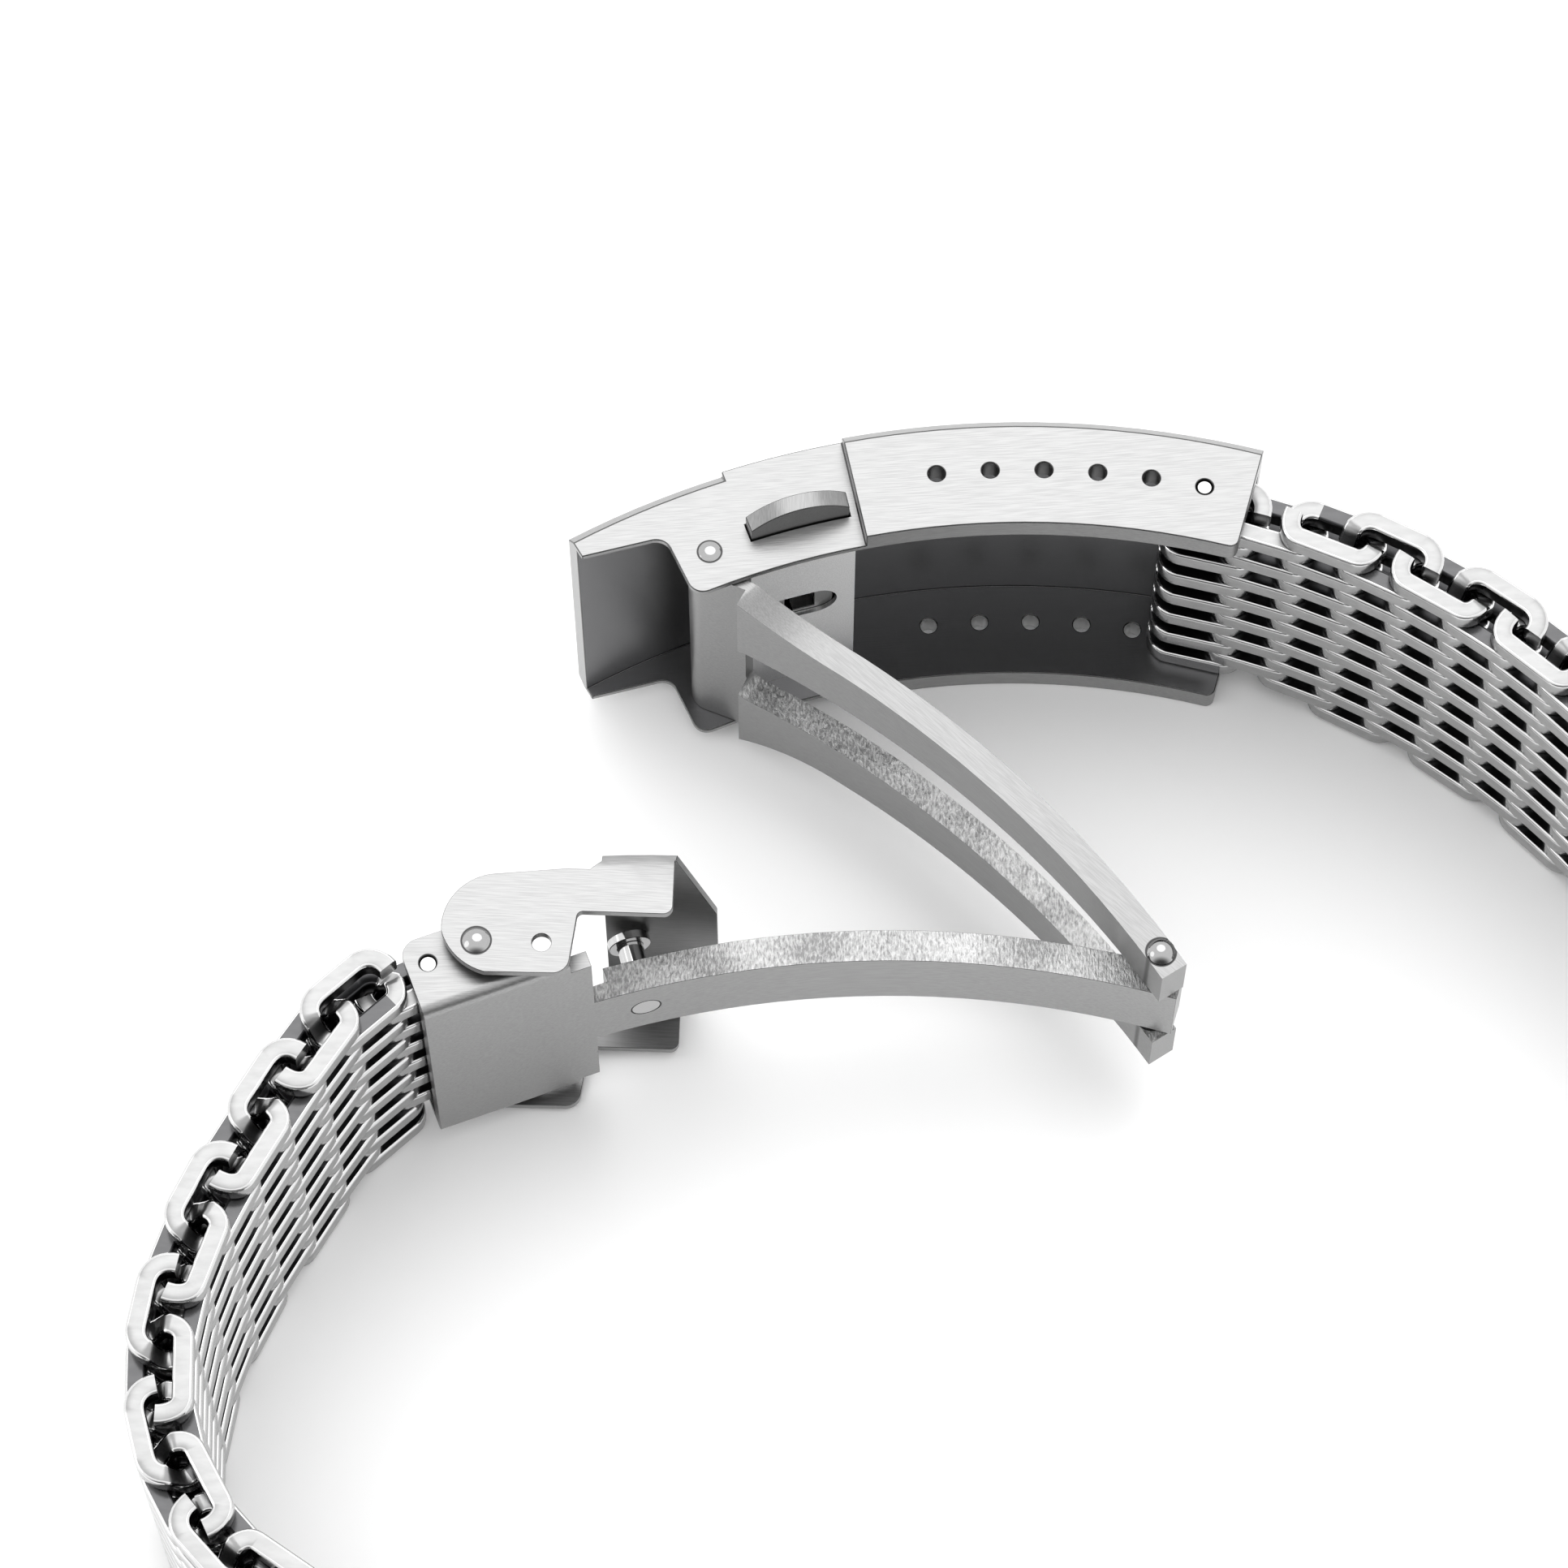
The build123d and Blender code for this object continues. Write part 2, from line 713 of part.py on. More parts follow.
def safety_flap():
    points = [
        flap_point(flap_top_start, flap_top),
        flap_point(flap_arm_end, flap_top),
        flap_point(flap_arm_end, flap_arm_low),
        flap_point(flap_notch, flap_arm_low),
        flap_point(flap_cheek_right, -flap_cheek_low),
        flap_point(flap_back, -flap_back_low - flap_back),
    ]
    low_back = flap_point(-flap_back_low, -flap_back_low / 2)
    back = flap_point(-flap_left, flap_back)
    crest = flap_point(*flap_crest)
    corner_arc = ThreePointArc(back, flap_point(-flap_crest_side[0], flap_crest_side[1]), crest)
    outline = face_of(
        [
            *[Line(points[n], points[n + 1]) for n in range(len(points) - 1)],
            ThreePointArc(points[-1], low_back, back),
            corner_arc,
            Line(crest, points[0]),
        ]
    )
    corners = [
        (flap_point(flap_arm_end, flap_arm_low), flap_arm_corner),
        (flap_point(flap_notch, flap_arm_low), flap_notch_corner),
        (flap_point(flap_cheek_right, -flap_cheek_low), flap_cheek_corner),
    ]
    for corner, radius in corners:
        outline = fillet(outline.vertices().sort_by_distance(corner)[0], radius)
    low = mid_z - flap_width / 2
    high = mid_z + flap_width / 2
    roof_in = cover_radius + flap_roof_gap
    roof_out = roof_in + flap_roof_sheet
    start = flap_angle(flap_roof_start)
    end = flap_angle(flap_arm_end + flap_tab_reach)
    crown = sector(cover_radius - flap_top / 2, roof_out, start, end)
    clip = polygon(
        [
            flap_point(flap_roof_start, flap_arm_low),
            flap_point(flap_arm_end, flap_arm_low),
            flap_point(flap_arm_end, 2 * flap_top),
            flap_point(flap_roof_start + flap_roof_ramp, 2 * flap_top),
            flap_point(flap_roof_start + flap_roof_ramp, flap_top + flap_roof_ramp),
            flap_point(flap_roof_start, flap_top),
        ]
    )
    body = slab(outline, low, high) + (slab(crown, low, high) & slab(clip, low, high))
    tab = sector(roof_in, roof_out, flap_angle(flap_arm_end - overrun), end)
    body += slab(tab, low, high) & tab_plug()
    inside = sector(cover_radius / 2, roof_in, -2 * cover_front_angle, cover_rear_angle)
    body -= slab(inside, low + flap_sheet, high - flap_sheet)
    for edge, inwards in ((low, 1), (high, -1)):
        body -= bevel_ring(
            roof_out, flap_bevel, flap_bevel_depth, edge, inwards, start - bevel_spare, end + bevel_spare
        )
    body -= rod(flap_pivot_closed, flap_pivot_diameter + 2 * pin_clearance, 0, cover_width)
    body -= rod(blade_pivot, flap_hole_diameter, 0, cover_width)
    return open_flap(body)


def tab_plug():
    """A plug seen from above that gives the thumb tab its slanted edges and round corners."""
    half = flap_width / 2
    tip = flap_tab_width / 2
    points = [(-overrun, half), (0, half), (flap_tab_reach, tip)]
    outline = make_face(Polyline(*points, *[(u, -w) for u, w in reversed(points)], close=True))
    corners = outline.vertices().sort_by(Axis.X)[-2:]
    plug = extrude(fillet(corners, flap_tab_corner), amount=2 * flap_top, both=True)
    return standing(flap_point(flap_arm_end, 0), -flap_closed_angle) * plug


def flap_angle(x):
    """The angle about the cover's arc centre of a place along the closed flap."""
    place = flap_point(x, flap_top) - arc_centre
    return math.degrees(math.atan2(place.X, place.Y))


def flap_rivet():
    """One short rivet through the lower cheek and the lower link wall."""
    flap_low = mid_z - flap_width / 2
    link_low = mid_z - link_width / 2
    body = rod(flap_pivot_open, flap_pivot_diameter, flap_low, link_low + link_wall)
    body += dome(flap_pivot_open, flap_pivot_head, flap_pivot_dome, flap_low, False)
    cheek = flap_low + flap_sheet
    spacer = rod(flap_pivot_open, flap_pivot_head, cheek + pin_clearance, link_low - pin_clearance)
    return body + spacer


def flap_pivot_rivets():
    lower = flap_rivet()
    return Compound([*lower.solids(), *mirrored(lower).solids()])


def bar_tube(place, diameter, wall, low, high):
    """A spring bar's tube with its bore."""
    body = rod(place, diameter, low, high)
    return as_solid(body - rod(place, diameter - 2 * wall, low - overrun, high + overrun))


def section_at(end, side, half_x, low_x, outer_y, inner_y, level):
    """The four corners of the wire where it crosses one end of a strand."""
    top = level + wire_width / 2
    low = level - wire_width / 2
    outer = (end * half_x, side * outer_y)
    inner = (end * low_x, side * inner_y)
    return [Vector(*outer, top), Vector(*outer, low), Vector(*inner, low), Vector(*inner, top)]


def coil_sections(first, last, kind):
    """Corners of the wire along one coil; kinds 1 and 2 are threaded through each other."""
    outer_y = mesh_thickness / 2
    inner_y = outer_y - wire_depth
    tip = coil_length / 2
    tip_in = tip - wire_depth
    sections = []
    for row in range(first, last + 1):
        even = 1 if row % 2 == 0 else -1
        way = even if kind == 1 else -even
        side = -way
        level = mesh_top - wire_width / 2 - row * strand_step
        if row > first:
            sections.append(section_at(-way, side, tip, tip_in, bend_half_height, bend_half_height, level))
            sections.append(section_at(-way, side, outer_shoulder, inner_shoulder, outer_y, inner_y, level))
        else:
            sections.append(section_at(-way, side, inner_shoulder, inner_shoulder, outer_y, inner_y, level))
        if row < last:
            sections.append(section_at(way, side, outer_shoulder, inner_shoulder, outer_y, inner_y, level))
            sections.append(section_at(way, side, tip, tip_in, bend_half_height, bend_half_height, level))
        else:
            sections.append(section_at(way, side, inner_shoulder, inner_shoulder, outer_y, inner_y, level))
    return sections


def quad(corners):
    """A flat face through four corners."""
    return Face(Wire.make_polygon(corners, close=True))


def coil(first, last, kind):
    """One flattened wire coil as an unbroken tube of four-sided section."""
    sections = coil_sections(first, last, kind)
    faces = [quad(sections[0]), quad(sections[-1])]
    for here, there in zip(sections, sections[1:]):
        for n in range(4):
            m = (n + 1) % 4
            faces.append(quad([here[n], here[m], there[m], there[n]]))
    return Solid(Shell(faces))


def strap_places(start, angle, bends):
    """Centre and direction of each coil of a strap, walked from one hinge to the next."""
    places = []
    centre = start
    for n in range(coils_in_strap):
        places.append((centre, angle))
        centre = centre + turned(coil_pitch / 2, 0, angle)
        angle += bends[n]
        centre = centre + turned(coil_pitch / 2, 0, angle)
    return places


def right_places():
    start = cover_bar_place + turned(cover_bar_offset, 0, right_strap_angle)
    return strap_places(start, right_strap_angle, [right_strap_bend] * coils_in_strap)


def left_places():
    start = link_pin_place + turned(link_pin_offset, -link_coil_lift, left_strap_angle)
    later = [min(left_first_bend + left_bend_growth * n, left_bend_limit) for n in range(coils_in_strap)]
    bends = [*left_link_bends, *later]
    return strap_places(start, left_strap_angle, bends)


def placed(shape, place):
    """A shape moved to a coil's centre and turned along the strap."""
    centre, angle = place
    return Pos(centre.X, centre.Y, 0) * Rot(0, 0, angle) * shape


def straps():
    """All coils of both straps by name."""
    full = (0, coil_strands - 1)
    covered = (cover_coil_first, cover_coil_last)
    linked = (link_coil_first, link_coil_last)
    shapes = {}
    for n, place in enumerate(right_places()):
        rows = covered if n < coils_in_cover else full
        shapes[f"right_coil_{n + 1:02d}"] = placed(coil(*rows, 1 + n % 2), place)
    for n, place in enumerate(left_places()):
        rows = linked if n < 1 else full
        shapes[f"left_coil_{n + 1:02d}"] = placed(coil(*rows, 2 - n % 2), place)
    return shapes


def cover_bar():
    """The spring bar that holds the right strap in the cover."""
    low = cover_wall + cover_bar_play
    high = cover_width - low
    place = cover_bar_place
    tip_low = rod(place, cover_bar_tip, cover_bar_play, low + bar_tip_sink)
    sunk = low + bar_tip_sink
    return {
        "cover_bar_tube": bar_tube(place, cover_bar_diameter, cover_bar_wall, low, high),
        "cover_bar_tip_lower": as_solid(tip_low),
        "cover_bar_tip_upper": as_solid(mirrored(tip_low)),
        "cover_bar_spring": zigzag(
            place, bar_spring_swing, bar_spring_wire, bar_spring_bends, sunk, cover_width - sunk
        ),
    }


def lug_bar(name, place):
    """A spring bar in the last coil of a strap; the surface below holds its lower tip in."""
    centre, angle = place
    spot = centre + turned(lug_bar_offset, 0, angle)
    upper = rod(spot, lug_bar_tip, mesh_top, mesh_top + lug_tip_proud)
    upper += rod(spot, lug_bar_piston, mesh_top - bar_tip_sink, mesh_top)
    lower = rod(spot, lug_bar_tip, 0, lug_tip_proud)
    lower += rod(spot, lug_bar_piston, lug_tip_proud, lug_tip_proud + bar_tip_sink)
    spring_low = lug_tip_proud + bar_tip_sink
    spring_high = mesh_top - bar_tip_sink
    return {
        f"{name}_tube": bar_tube(spot, lug_bar_diameter, lug_bar_wall, mesh_foot, mesh_top),
        f"{name}_tip_upper": as_solid(upper),
        f"{name}_tip_lower": as_solid(lower),
        f"{name}_spring": zigzag(
            spot, bar_spring_swing, bar_spring_wire, bar_spring_bends, spring_low, spring_high
        ),
    }


def least_coil_gap():
    """The least gap between two strands of a coil that aren't joined by one bend, on points."""
    sections = coil_sections(0, coil_strands - 1, 1)
    middles = [(sum(corners, Vector()) / len(corners), n) for n, corners in enumerate(sections)]
    gaps = []
    for here, n in middles:
        for there, m in middles:
            if m > n + 2:
                gaps.append((there - here).length - wire_width)
    return min(gaps)


parts = {
    "clasp_cover": clasp_cover(),
    "catch_block": catch_block(),
    "button_upper": button_upper(),
    "button_lower": button_lower(),
    "button_spring": button_spring(),
    "blade_pivot_pin": blade_pivot_pin(),
    "inner_blade": inner_blade(),
    "blade_hinge_pin": blade_hinge_pin(),
    "outer_blade": outer_blade(),
    "catch_stud": catch_stud(),
    "end_link_pin": end_link_pin(),
    "safety_flap": safety_flap(),
    "flap_pivot_rivets": flap_pivot_rivets(),
}
parts.update(straps())
parts.update(cover_bar())
parts.update(lug_bar("lug_bar_right", right_places()[-1]))
parts.update(lug_bar("lug_bar_left", left_places()[-1]))

for name, shape in parts.items():
    export_step(shape, f"parts/{name}.step")

print(f"least gap of a coil to itself: {least_coil_gap():.2f} mm")
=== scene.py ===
import math

import bmesh
import bpy
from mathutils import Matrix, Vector


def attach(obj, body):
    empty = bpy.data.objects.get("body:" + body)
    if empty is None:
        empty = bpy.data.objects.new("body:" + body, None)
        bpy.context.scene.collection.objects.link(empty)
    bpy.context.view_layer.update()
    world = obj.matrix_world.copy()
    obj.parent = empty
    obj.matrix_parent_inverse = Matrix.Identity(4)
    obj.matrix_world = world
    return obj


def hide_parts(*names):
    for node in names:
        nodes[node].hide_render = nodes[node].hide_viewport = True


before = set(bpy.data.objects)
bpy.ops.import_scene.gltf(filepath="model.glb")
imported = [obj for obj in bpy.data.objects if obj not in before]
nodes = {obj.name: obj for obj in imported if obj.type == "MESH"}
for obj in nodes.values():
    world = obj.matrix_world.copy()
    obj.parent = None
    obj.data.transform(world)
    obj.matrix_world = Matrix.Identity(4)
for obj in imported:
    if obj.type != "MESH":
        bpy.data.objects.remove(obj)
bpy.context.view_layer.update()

MM = 0.001

# Sizes in millimetres and angles in degrees, as in the CAD model
COVER_WIDTH = 20.4
MID_Z = COVER_WIDTH / 2
COVER_RADIUS = 50.4
COVER_TOP_Y = 4.25
ARC_CENTRE_Y = COVER_TOP_Y - COVER_RADIUS
CHANNEL_RADIUS = 49.4
COVER_WALL = 1.5
HOLE_COUNT = 6
HOLE_PITCH = 3.0
HOLE_DEPTH = 3.37
FIRST_HOLE_ANGLE = 12.3

COIL_LENGTH = 6.1
COIL_PITCH = 3.35
MESH_THICKNESS = 3.7
MESH_WIDTH = 19.8
WIRE_DEPTH = 1.1
WIRE_WIDTH = 1.2
WIRE_CORNER = 0.16
COIL_ROWS = 16
COILS = 16
ROW_STEP = (MESH_WIDTH - WIRE_WIDTH) / (COIL_ROWS - 1)
MESH_TOP = MID_Z + MESH_WIDTH / 2

# Where each strap starts, the way it heads, and the bend after each of its coils
BAR_PLACE = (10.01882, -0.19955)
BAR_TO_COIL = 0.9
RIGHT_START = -14.0
RIGHT_BENDS = [-4.6] * COILS
PIN_PLACE = (-32.55965, -28.32221)
PIN_TO_COIL = 1.3
LINK_LIFT = 0.12
LEFT_START = 206.4
LEFT_BENDS = [16.5, 14.0, 3.0, 1.0] + [min(4.2 + 2.3 * n, 13.5) for n in range(COILS)]


def turned(x, y, degrees):
    """The point turned about the origin."""
    a = math.radians(degrees)
    return x * math.cos(a) - y * math.sin(a), x * math.sin(a) + y * math.cos(a)


def plus(p, q):
    return p[0] + q[0], p[1] + q[1]


def walk(start, angle, bends):
    """Centre and direction of each coil of a strap."""
    places = []
    centre = start
    for n in range(COILS):
        places.append((centre, angle))
        centre = plus(centre, turned(COIL_PITCH / 2, 0, angle))
        angle += bends[n]
        centre = plus(centre, turned(COIL_PITCH / 2, 0, angle))
    return places


# ---------------------------------------------------------------- materials
# The painted contact shadow round a pin: its width, and where it fades out, in widths from the
# pin's edge
PIN_SHADOW_WIDTH = 0.075
PIN_SHADOW_FADE = (1.3, 0.7)
# How far a mask reaches past the face that it covers
FACE_MARGIN = 0.04
BRUSH_BUMP = 0.00004
NOISE_RANGE = (0.36, 0.64)
MILLED_HALF_WIDTH = 3.1
MILLED_FACING = 0.7
MILLED_SCALE = (7500.0, 2600.0, 3000.0)
MILLED_BUMP = 0.0001
MILLED_TONES = (0.24, 0.56)
PATCH_SPREAD = 0.2


def feed(tree, target, value):
    """Link an output to the target socket, or set the socket to a constant."""
    if isinstance(value, bpy.types.NodeSocket):
        tree.links.new(value, target)
    elif value is not None:
        target.default_value = value


def maths(tree, operation, first, second=None):
    node = tree.nodes.new("ShaderNodeMath")
    node.operation = operation
    feed(tree, node.inputs[0], first)
    feed(tree, node.inputs[1], second)
    return node.outputs["Value"]


def vector_maths(tree, operation, first, second=None):
    node = tree.nodes.new("ShaderNodeVectorMath")
    node.operation = operation
    feed(tree, node.inputs[0], first)
    feed(tree, node.inputs[1], second)
    return node.outputs["Value" if operation == "LENGTH" else "Vector"]


def joined(tree, x, y, z=None):
    """A vector of its parts, nought where a part is left out."""
    node = tree.nodes.new("ShaderNodeCombineXYZ")
    for target, value in zip(node.inputs, (x, y, z)):
        feed(tree, target, value)
    return node.outputs["Vector"]


def parted(tree, vector):
    """The outputs X, Y and Z of a vector."""
    node = tree.nodes.new("ShaderNodeSeparateXYZ")
    tree.links.new(vector, node.inputs["Vector"])
    return node.outputs


def ranged(tree, value, start=(0.0, 1.0), end=(0.0, 1.0), smooth=False):
    """The value carried from one range to another."""
    node = tree.nodes.new("ShaderNodeMapRange")
    if smooth:
        node.interpolation_type = "SMOOTHSTEP"
    node.inputs["From Min"].default_value, node.inputs["From Max"].default_value = start
    node.inputs["To Min"].default_value, node.inputs["To Max"].default_value = end
    tree.links.new(value, node.inputs["Value"])
    return node.outputs["Result"]


def noise(tree, vector, scale, detail, roughness=0.5):
    node = tree.nodes.new("ShaderNodeTexNoise")
    node.inputs["Scale"].default_value = scale
    node.inputs["Detail"].default_value = detail
    node.inputs["Roughness"].default_value = roughness
    tree.links.new(vector, node.inputs["Vector"])
    return node.outputs["Fac"]


def new_group(name, inputs, outputs):
    """A shader node group with its own sockets, and the sockets to read from and to fill."""
    tree = bpy.data.node_groups.new(name, "ShaderNodeTree")
    for title, kind, value in inputs:
        entry = tree.interface.new_socket(title, in_out="INPUT", socket_type=kind)
        if value is not None:
            entry.default_value = value
    for title, kind in outputs:
        tree.interface.new_socket(title, in_out="OUTPUT", socket_type=kind)
    given = tree.nodes.new("NodeGroupInput").outputs
    result = tree.nodes.new("NodeGroupOutput").inputs
    coords = tree.nodes.new("ShaderNodeTexCoord").outputs
    return tree, given, result, coords


def brush_group():
    """Fine parallel scratches: puts out a bumped normal and the scratches' own pattern."""
    tree, given, result, coords = new_group(
        "brushing",
        (
            ("Angle", "NodeSocketFloat", 0.0),
            ("Along", "NodeSocketFloat", 160.0),
            ("Across", "NodeSocketFloat", 9000.0),
            ("Depth", "NodeSocketFloat", 0.2),
        ),
        (("Normal", "NodeSocketVector"), ("Streak", "NodeSocketFloat")),
    )
    turn = tree.nodes.new("ShaderNodeVectorRotate")
    turn.rotation_type = "Z_AXIS"
    feed(tree, turn.inputs["Vector"], coords["Object"])
    feed(tree, turn.inputs["Angle"], given["Angle"])
    scale = joined(tree, given["Along"], given["Across"], given["Across"])
    stretched = vector_maths(tree, "MULTIPLY", turn.outputs["Vector"], scale)
    pattern = noise(tree, stretched, scale=1.0, detail=3.0)
    bump = tree.nodes.new("ShaderNodeBump")
    bump.inputs["Distance"].default_value = BRUSH_BUMP
    feed(tree, bump.inputs["Strength"], given["Depth"])
    feed(tree, bump.inputs["Height"], pattern)
    feed(tree, result["Normal"], bump.outputs["Normal"])
    feed(tree, result["Streak"], pattern)
    return tree


def cover_channel_shade_group():
    """A mask of the cover channel's own inner faces, where painted shade goes, from its radius
    and height.
    """
    tree, _, result, coords = new_group("cover_channel_shade", (), (("Mask", "NodeSocketFloat"),))
    arc_centre = (0.0, ARC_CENTRE_Y * MM, 0.0)
    place = parted(tree, vector_maths(tree, "SUBTRACT", coords["Object"], arc_centre))
    radius = vector_maths(tree, "LENGTH", joined(tree, place["X"], place["Y"]))
    below_roof = maths(tree, "LESS_THAN", radius, (CHANNEL_RADIUS + FACE_MARGIN) * MM)
    level = maths(tree, "ABSOLUTE", maths(tree, "SUBTRACT", place["Z"], MID_Z * MM))
    between = maths(tree, "LESS_THAN", level, (MID_Z - COVER_WALL + FACE_MARGIN) * MM)
    feed(tree, result["Mask"], maths(tree, "MULTIPLY", below_roof, between))
    return tree


def milled_group():
    """A mask of the long faces that were milled, and the mottled marks on them."""
    tree, given, result, coords = new_group(
        "milled_edges",
        (("Half Width", "NodeSocketFloat", MILLED_HALF_WIDTH * MM),),
        (("Mask", "NodeSocketFloat"), ("Marks", "NodeSocketFloat")),
    )
    height = parted(tree, coords["Object"])["Z"]
    facing = parted(tree, coords["Normal"])["Z"]
    level = maths(tree, "ABSOLUTE", maths(tree, "SUBTRACT", height, MID_Z * MM))
    near = maths(tree, "LESS_THAN", level, given["Half Width"])
    flat = maths(tree, "GREATER_THAN", maths(tree, "ABSOLUTE", facing), MILLED_FACING)
    feed(tree, result["Mask"], maths(tree, "MULTIPLY", near, flat))
    stretched = vector_maths(tree, "MULTIPLY", coords["Object"], MILLED_SCALE)
    fine = noise(tree, stretched, scale=1.0, detail=4.0, roughness=0.65)
    patches = noise(tree, coords["Object"], scale=260.0, detail=1.0)
    spread = ranged(tree, patches, end=(-PATCH_SPREAD, PATCH_SPREAD))
    feed(tree, result["Marks"], maths(tree, "ADD", fine, spread))
    return tree


def pin_shadow_group():
    """A mask of the fine painted contact shadow round an upright pin's end, from its centre and
    radius.
    """
    tree, given, result, coords = new_group(
        "pin_contact_shadow",
        (
            ("Centre", "NodeSocketVector", None),
            ("Radius", "NodeSocketFloat", 0.5 * MM),
            ("Width", "NodeSocketFloat", PIN_SHADOW_WIDTH * MM),
        ),
        (("Mask", "NodeSocketFloat"),),
    )
    away = vector_maths(tree, "SUBTRACT", coords["Object"], given["Centre"])
    level = vector_maths(tree, "MULTIPLY", away, (1.0, 1.0, 0.0))
    outside = maths(tree, "SUBTRACT", vector_maths(tree, "LENGTH", level), given["Radius"])
    share = maths(tree, "DIVIDE", outside, given["Width"])
    feed(tree, result["Mask"], ranged(tree, share, start=PIN_SHADOW_FADE, smooth=True))
    return tree


BRUSH = brush_group()
MILLED = milled_group()
CHANNEL_SHADE_MASK = cover_channel_shade_group()
PIN_SHADOW = pin_shadow_group()
# The colour of the painted contact shadow round a pin's end
PIN_SHADOW_COLOUR = (0.05, 0.05, 0.05)


def use_group(tree, group, **values):
    """A node of the group with its constants set on its own sockets."""
    node = tree.nodes.new("ShaderNodeGroup")
    node.node_tree = group
    for title, value in values.items():
        node.inputs[title].default_value = value
    return node.outputs


def laid_over(tree, below, mask, above):
    """The colour above laid over the one below, where the mask is one."""
    mix = tree.nodes.new("ShaderNodeMix")
    mix.data_type = "RGBA"
    feed(tree, mix.inputs["Factor"], mask)
    feed(tree, mix.inputs["A"], below)
    feed(tree, mix.inputs["B"], above)
    return mix.outputs["Result"]


def grey(value):
    return (value, value, value)


def shade(colour, factor=1.0):
    """The colour made lighter or darker, with its alpha."""
    return (*[min(1, c * factor) for c in colour], 1)


def metal(
    name,
    colour,
    rough,
    angle=0.0,
    depth=0.15,
    along=600.0,
    across=17000.0,
    streak=0.1,
    channel_shade=None,
    milled=False,
    shadowed_pins=(),
):
    """Brushed steel; angle is the brushing direction in degrees from X.

    The channel colour given is painted shade over the cover channel's inner faces, and the pins
    listed get a painted contact shadow round them.
    """
    m = bpy.data.materials.new(name)
    m.use_nodes = True
    tree = m.node_tree
    surface = tree.nodes["Principled BSDF"].inputs
    surface["Metallic"].default_value = 1.0
    turn = math.radians(-angle)
    brush = use_group(tree, BRUSH, Angle=turn, Along=along, Across=across, Depth=depth)
    feed(tree, surface["Normal"], brush["Normal"])
    roughness = ranged(tree, brush["Streak"], end=(rough - streak / 2, rough + streak / 2))
    feed(tree, surface["Roughness"], roughness)
    lines = ranged(tree, brush["Streak"], start=NOISE_RANGE)
    top = laid_over(tree, shade(colour, 1 - streak), lines, shade(colour, 1 + streak))
    if milled:
        marks = use_group(tree, MILLED)
        bump = tree.nodes.new("ShaderNodeBump")
        bump.inputs["Distance"].default_value = MILLED_BUMP
        bump.inputs["Strength"].default_value = 1.0
        height = maths(tree, "MULTIPLY", marks["Mask"], marks["Marks"])
        feed(tree, bump.inputs["Height"], height)
        feed(tree, bump.inputs["Normal"], brush["Normal"])
        feed(tree, surface["Normal"], bump.outputs["Normal"])
        mottle = ranged(tree, marks["Marks"], start=NOISE_RANGE, end=MILLED_TONES)
        top = laid_over(tree, top, marks["Mask"], mottle)
    # The cover channel's inner faces are painted darker as shade
    if channel_shade:
        top = laid_over(tree, top, use_group(tree, CHANNEL_SHADE_MASK)["Mask"], shade(channel_shade))
    # Each pin listed gets a painted contact shadow round its end
    for pin, diameter in shadowed_pins:
        size = {"Radius": diameter / 2 * MM, "Width": PIN_SHADOW_WIDTH * MM}
        pin_ring_shadow = use_group(tree, PIN_SHADOW, Centre=middle_of(pin), **size)
        top = laid_over(tree, top, pin_ring_shadow["Mask"], shade(PIN_SHADOW_COLOUR))
    feed(tree, surface["Base Color"], top)
    return m


def middle_of(node):
    """The middle of a CAD piece's box."""
    low = [min(v.co[k] for v in nodes[node].data.vertices) for k in range(3)]
    high = [max(v.co[k] for v in nodes[node].data.vertices) for k in range(3)]
    return tuple((l + h) / 2 for l, h in zip(low, high))


STEEL = grey(0.31)
BRUSHED_ROUGH = 0.34
HOLE_ROUGH = 0.4
POLISHED = {"depth": 0.0, "streak": 0.02}
WIRE_LINES = {"along": 900.0, "across": 2500.0, "streak": 0.06}

# The pins whose ends show in each piece, with the diameter of the painted contact shadow round
# them
COVER_PINS = (("blade_pivot_pin", 1.3), ("cover_bar_tip_upper", 0.84))
INNER_PINS = (("blade_hinge_pin", 1.6),)
OUTER_PINS = (("end_link_pin", 0.92), ("blade_hinge_pin", 1.0))
FLAP_PINS = (("flap_pivot_rivets", 1.55),)

# The cover's channel gets painted shade, a darker grey over its inner faces
m_cover = metal(
    "cover_brushed", STEEL, BRUSHED_ROUGH, angle=4.0, channel_shade=(0.22, 0.22, 0.225), shadowed_pins=COVER_PINS
)
# The catch housing's grey is raised well above the steel's as painted light, for the dim floor
# and horizon it reflects
m_block_lit = metal("block_satin_painted_light", grey(0.85), 0.36, angle=90.0)
m_inner = metal(
    "inner_blade_brushed", grey(0.26), BRUSHED_ROUGH, angle=-43.0, milled=True, shadowed_pins=INNER_PINS
)
m_outer = metal(
    "outer_blade_brushed", STEEL, BRUSHED_ROUGH, angle=2.0, milled=True, shadowed_pins=OUTER_PINS
)
m_flap = metal("flap_brushed", STEEL, BRUSHED_ROUGH, angle=-3.0, shadowed_pins=FLAP_PINS)
m_button = metal("button_satin", grey(0.24), 0.3, angle=90.0)
m_wire = metal("wire_satin", grey(0.37), 0.24, depth=0.05, **WIRE_LINES)
